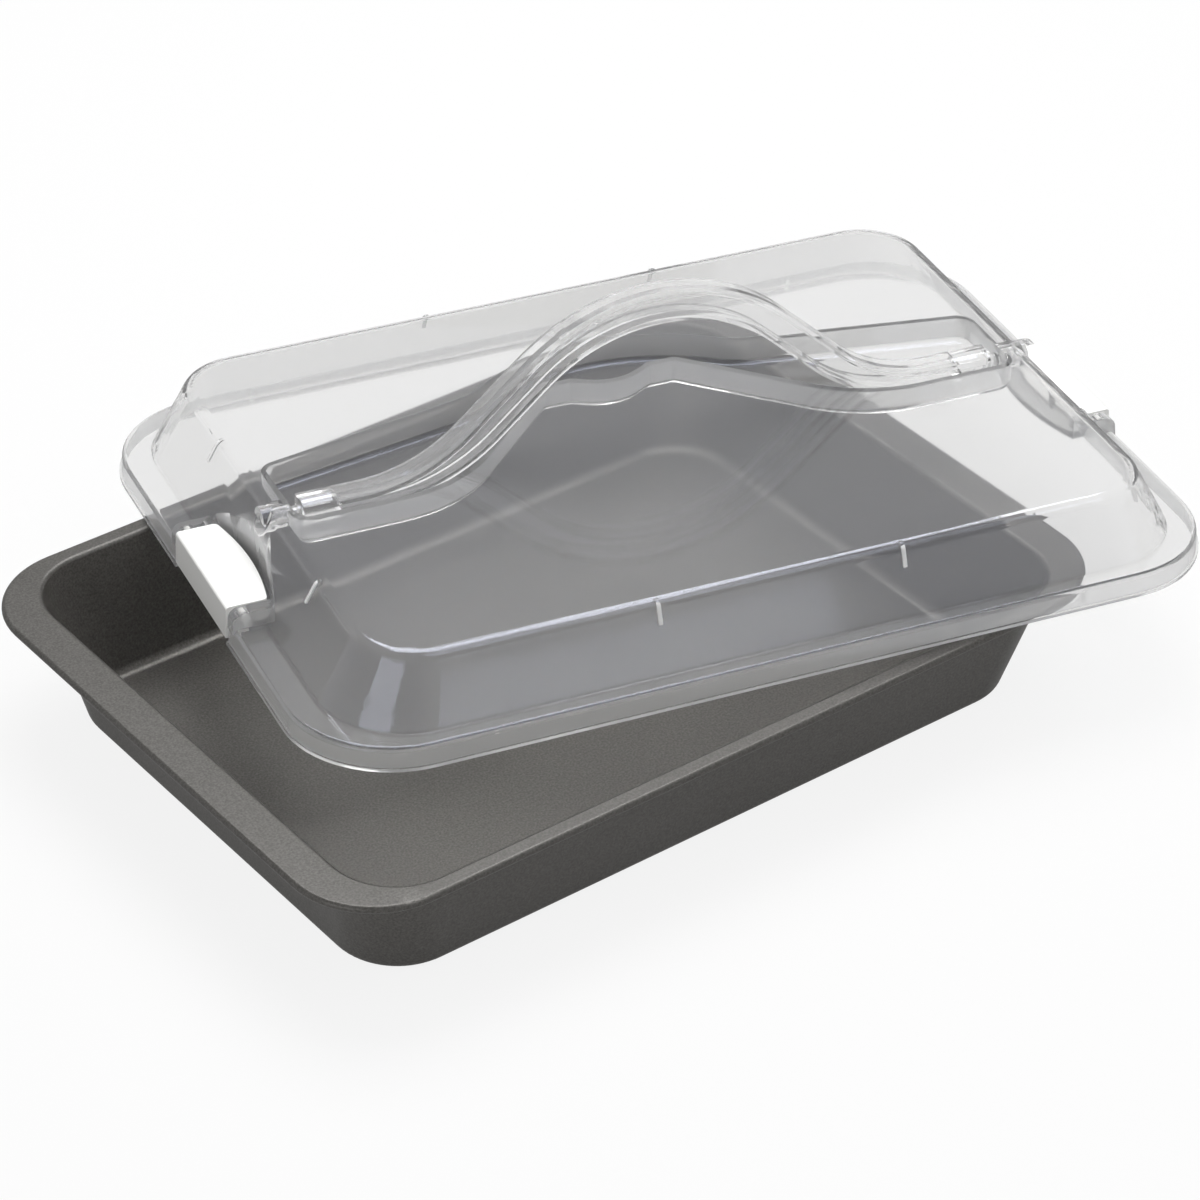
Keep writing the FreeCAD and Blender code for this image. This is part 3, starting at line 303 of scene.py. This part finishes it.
# room, ceiling, mirrored and skylight are what shines back in, or through, gloss and clear
# plastic; lamps: name, watts, width, height, place
studio = {"floorColour": "#d6d6d6", "floorGlow": 0.86, "floorHalf": 8, "floorDrop": 0.0004,
          "sky": 0.45, "room": 0.78, "ceiling": 0.5, "mirrored": 0.4, "skylight": 0.5, "aim": (0.05, 0, 0.04),
          "lamps": [("top", 22.0, 1.1, 1.1, (0.35, 0.4, 1.35)),
                    ("front", 2.2, 0.7, 0.7, (0.25, -0.6, 1.1)),
                    ("left", 2.6, 0.9, 0.5, (-1.4, -0.5, 0.3)),
                    ("strip", 0.06, 0.36, 0.06, (0.1, -1.45, 0.14))]}


def addLamp(name, power, wide, high, place, aim):
    data = bpy.data.lights.new(name, "AREA")
    data.shape = "RECTANGLE"
    data.size = wide
    data.size_y = high
    data.energy = power
    lamp = bpy.data.objects.new(name, data)
    bpy.context.scene.collection.objects.link(lamp)
    lamp.location = place
    lamp.rotation_euler = (Vector(aim) - Vector(place)).to_track_quat("-Z", "Y").to_euler()
    lamp.visible_camera = False


def rayLevels(tree, plain, changes):
    # a brightness that differs by the kind of ray: what is added for each kind, a number
    # or a socket (a ray that goes through plastic counts as a glossy one too)
    rays = addNode(tree, "ShaderNodeLightPath")
    level = None
    for kind, change in changes:
        step = addNode(tree, "ShaderNodeMath", {"operation": "MULTIPLY_ADD"})
        tree.links.new(rays.outputs["Is %s Ray" % kind], step.inputs[0])
        if isinstance(change, float):
            step.inputs[1].default_value = change
        else:
            tree.links.new(change, step.inputs[1])
        step.inputs[2].default_value = plain
        if level:
            tree.links.new(level, step.inputs[2])
        level = step.outputs[0]
    return level


def roomLevel(tree, low, high):
    # from one level at the horizon and below to another towards the ceiling
    way = addNode(tree, "ShaderNodeTexCoord").outputs["Generated"]
    rise = addNode(tree, "ShaderNodeSeparateXYZ", {}, {"Vector": way})
    level = addNode(tree, "ShaderNodeMapRange",
                    {"From Min": 0.1, "From Max": 0.6, "To Min": low, "To Max": high},
                    {"Value": rise.outputs["Z"]})
    return level.outputs["Result"]


def paleFloor(s):
    # matt board; the camera sees it close to white, and gloss and plastic see it paler still
    material, tree = newMaterial("paleFloor")
    matt = addNode(tree, "ShaderNodeBsdfDiffuse", {"Color": srgb(s["floorColour"])})
    level = rayLevels(tree, 0.0, [("Camera", 1.0), ("Glossy", s["mirrored"]),
                                  ("Transmission", s["room"] - s["mirrored"])])
    glow = addNode(tree, "ShaderNodeEmission", {"Color": (1, 1, 1, 1)}, {"Strength": level})
    share = rayLevels(tree, s["floorGlow"], [("Diffuse", -s["floorGlow"])])
    mix = addNode(tree, "ShaderNodeMixShader", {}, {"Fac": share})
    tree.links.new(matt.outputs["BSDF"], mix.inputs[1])
    tree.links.new(glow.outputs["Emission"], mix.inputs[2])
    addNode(tree, "ShaderNodeOutputMaterial", {}, {"Surface": mix.outputs["Shader"]})
    return material


def addFloor(s):
    # just under the pan, so that the two faces never share a plane
    mesh = bpy.data.meshes.new("studioFloor")
    form = bmesh.new()
    bmesh.ops.create_grid(form, x_segments=1, y_segments=1, size=s["floorHalf"],
                          matrix=Matrix.Translation((0, 0, -s["floorDrop"])))
    form.to_mesh(mesh)
    form.free()
    mesh.materials.append(paleFloor(s))
    floor = bpy.data.objects.new("studioFloor", mesh)
    bpy.context.scene.collection.objects.link(floor)


def addSky(s):
    world = bpy.data.worlds.new("studioWorld")
    bpy.context.scene.world = world
    world.use_nodes = True
    tree = world.node_tree
    tree.nodes.clear()
    # the handle's bends gather light from overhead, which brightens no matt surface
    rays = addNode(tree, "ShaderNodeLightPath")
    unspread = addNode(tree, "ShaderNodeMath", {"operation": "LESS_THAN"})
    tree.links.new(rays.outputs["Diffuse Depth"], unspread.inputs[0])
    unspread.inputs[1].default_value = 0.5
    gathered = addNode(tree, "ShaderNodeMath", {"operation": "MULTIPLY"})
    tree.links.new(unspread.outputs[0], gathered.inputs[0])
    tree.links.new(roomLevel(tree, 0.0, s["skylight"]), gathered.inputs[1])
    mirrored = roomLevel(tree, s["room"] - s["sky"], s["ceiling"] - s["sky"])
    level = rayLevels(tree, s["sky"], [("Camera", 1.0 - s["sky"]), ("Glossy", mirrored),
                                       ("Transmission", gathered.outputs[0])])
    light = addNode(tree, "ShaderNodeBackground", {"Color": (1, 1, 1, 1)}, {"Strength": level})
    addNode(tree, "ShaderNodeOutputWorld", {}, {"Surface": light.outputs["Background"]})


addFloor(studio)
addSky(studio)
for name, power, wide, high, place in studio["lamps"]:
    addLamp(name + "Lamp", power, wide, high, place, studio["aim"])
bpy.context.scene.view_settings.view_transform = "Standard"
print("studio lit")
